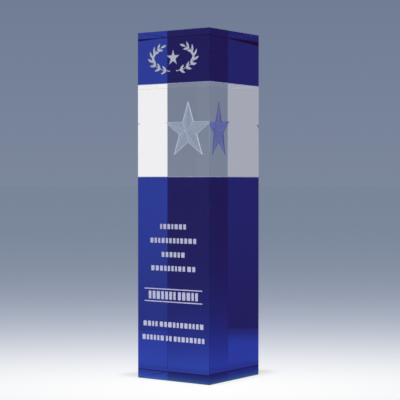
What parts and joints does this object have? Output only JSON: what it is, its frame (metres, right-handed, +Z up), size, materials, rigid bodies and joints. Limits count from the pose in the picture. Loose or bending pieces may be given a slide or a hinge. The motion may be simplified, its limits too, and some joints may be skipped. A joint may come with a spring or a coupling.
{
  "type": "crystal award",
  "caption": "Tall square crystal award column of cobalt and clear glass blocks bonded end to end, with a star engraved inside the clear block and an etched front with a laurel emblem.",
  "frame": {"origin": "centre of the column's resting face, in the plane it stands on", "axes": "+Z up the column, -Y out of the inscribed front face, +X to the column's right side as the front is faced"},
  "size_m": [0.0636, 0.0636, 0.25],
  "materials": {
    "cobalt_glass": "polished optical glass, coloured cobalt blue right through",
    "clear_glass": "polished water-clear optical glass",
    "clear_adhesive": "clear cured adhesive film",
    "frosted_engraving": "frosted, translucent, pale blue grey",
    "white_infill": "matt white enamel in an etched pocket"
  },
  "bodies": {
    "root": {"lower_block": "cobalt_glass", "clear_block": "clear_glass", "top_block": "cobalt_glass", "lower_bond": "clear_adhesive", "upper_bond": "clear_adhesive", "star_engraving": "frosted_engraving", "laurel_left": "white_infill", "laurel_right": "white_infill", "emblem_star": "white_infill", "row_1_word_1": "white_infill", "row_2_word_1": "white_infill", "row_3_word_1": "white_infill", "row_4_word_1": "white_infill", "row_4_word_2": "white_infill", "name_row_word_1": "white_infill", "name_row_word_2": "white_infill", "name_rule_upper": "white_infill", "name_rule_lower": "white_infill", "row_5_word_1": "white_infill", "row_5_word_2": "white_infill", "row_6_word_1": "white_infill", "row_6_word_2": "white_infill", "row_6_word_3": "white_infill"}
  },
  "joints": []
}
